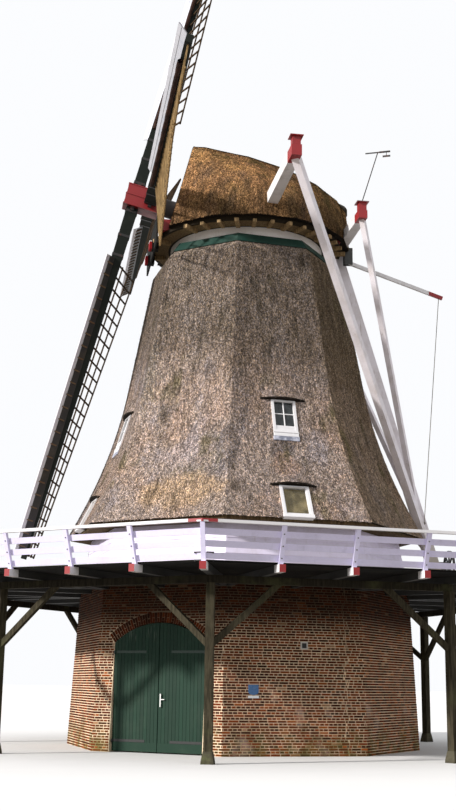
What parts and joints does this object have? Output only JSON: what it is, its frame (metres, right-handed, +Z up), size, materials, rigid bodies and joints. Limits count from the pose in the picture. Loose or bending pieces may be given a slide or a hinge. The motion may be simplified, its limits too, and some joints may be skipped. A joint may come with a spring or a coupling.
{
  "type": "traditional windmill",
  "caption": "Thatched octagonal stage mill on a brick base: the cap turns with its tail pole, the sails turn on the windshaft, and two arched doors open at the foot.",
  "frame": {"origin": "ground under the middle of the octagonal tower", "axes": "+Z up, the doors face -Y"},
  "size_m": [16.9865, 18.5637, 25.5267],
  "materials": {
    "brick": "weathered red-brown brick with pale joints",
    "floor_brick": "worn paving brick",
    "floor_boards": "bare boards",
    "plinth_stone": "rough stone",
    "stage_timber": "dark weathered timber",
    "deck_timber": "dark boards",
    "white_paint": "white painted timber",
    "white_boards": "white painted boards",
    "white_timber": "white painted beam, weathered",
    "cap_timber": "white painted beam with red ends",
    "brown_board": "dark brown board",
    "thatch": "weathered reed thatch",
    "cap_thatch": "weathered reed thatch",
    "window_glass": "window glass",
    "green_paint": "green painted boards",
    "door_green": "green painted boards",
    "dark_paint": "black tarred boards",
    "iron": "black painted iron",
    "wheel_iron": "black painted",
    "cast_iron": "dark cast iron",
    "red_iron": "red painted cast iron",
    "stock_paint": "dark painted timber",
    "lattice_paint": "pale painted laths",
    "lead_board_paint": "pale painted boards",
    "sail_cloth": "rolled dark cloth",
    "rope": "thin rope"
  },
  "bodies": {
    "tower": {"ground_floor": "floor_brick", "stage_level_floor": "floor_boards", "upper_floor": "floor_boards", "base_wall_left_of_door": "brick", "base_wall_right_of_door": "brick", "base_wall_door_arch": "brick", "base_walls_diagonal": "brick", "base_walls_straight": "brick", "door_pins": "iron", "stage_stones": "plinth_stone", "stage_posts": "stage_timber", "stage_ring_beams": "stage_timber", "stage_knee_braces": "stage_timber", "stage_joists": "stage_timber", "stage_deck": "deck_timber", "railing_posts": "white_paint", "railing_handrails": "white_paint", "railing_boards": "white_paint", "boarded_wall": "white_boards", "thatch_edge_board": "brown_board", "thatch_window_sides": "thatch", "thatch_plain_sides": "thatch", "window_frames": "white_paint", "window_glass": "window_glass", "window_aprons": "white_paint", "green_band": "green_paint", "curb_ring": "white_paint"},
    "cap": {"cap_thatch_left": "cap_thatch", "cap_thatch_right": "cap_thatch", "cap_ridge_cover": "cap_thatch", "cap_front_boards": "dark_paint", "cap_turning_ring": "brown_board", "cap_sheers": "cap_timber", "cap_rafter_feet": "brown_board", "bearing_beams": "brown_board", "long_sprit": "cap_timber", "short_sprit": "cap_timber", "tail_braces": "white_timber", "tail_pole": "white_timber", "brake_lever_ears": "iron", "vane": "iron", "wheel_block": "white_timber", "cap_beard": "dark_paint", "sprit_caps": "red_iron"},
    "sails": {"windshaft": "cast_iron", "poll_end": "red_iron", "stocks": "stock_paint", "lattice_up": "lattice_paint", "lattice_near": "lattice_paint", "lattice_down": "lattice_paint", "lattice_far": "lattice_paint", "leading_boards": "lead_board_paint", "rolled_cloths": "sail_cloth"},
    "brake_lever": {"brake_lever": "white_timber", "brake_rope": "rope"},
    "winding_wheel": {"winding_wheel": "wheel_iron"},
    "left_door": {"left_door_leaf": "door_green", "left_door_irons": "iron"},
    "right_door": {"right_door_leaf": "door_green", "right_door_irons": "iron"}
  },
  "joints": [
    {"name": "cap_turn", "type": "hinge", "parent": "tower", "child": "cap", "pos_m": [0, 0, 13.7], "axis": [0, 0, 1], "continuous": true},
    {"name": "sail_turn", "type": "hinge", "parent": "cap", "child": "sails", "pos_m": [-2.57443, -1.97543, 15.171], "axis": [-0.7684, -0.5896, 0.2487], "continuous": true},
    {"name": "brake_lever_swing", "type": "hinge", "parent": "cap", "child": "brake_lever", "pos_m": [2.62781, 1.48699, 13.49], "axis": [0.6088, -0.7934, 0], "range_deg": [0, 10]},
    {"name": "winding_wheel_turn", "type": "hinge", "parent": "cap", "child": "winding_wheel", "pos_m": [4.65167, 3.56935, 4.9], "axis": [0.7934, 0.6088, 0], "continuous": true},
    {"name": "left_door_swing", "type": "hinge", "parent": "tower", "child": "left_door", "pos_m": [-1.245, -4.2243, 0], "axis": [0, 0, -1], "range_deg": [0, 90]},
    {"name": "right_door_swing", "type": "hinge", "parent": "tower", "child": "right_door", "pos_m": [1.245, -4.2243, 0], "axis": [0, 0, 1], "range_deg": [0, 90]}
  ]
}
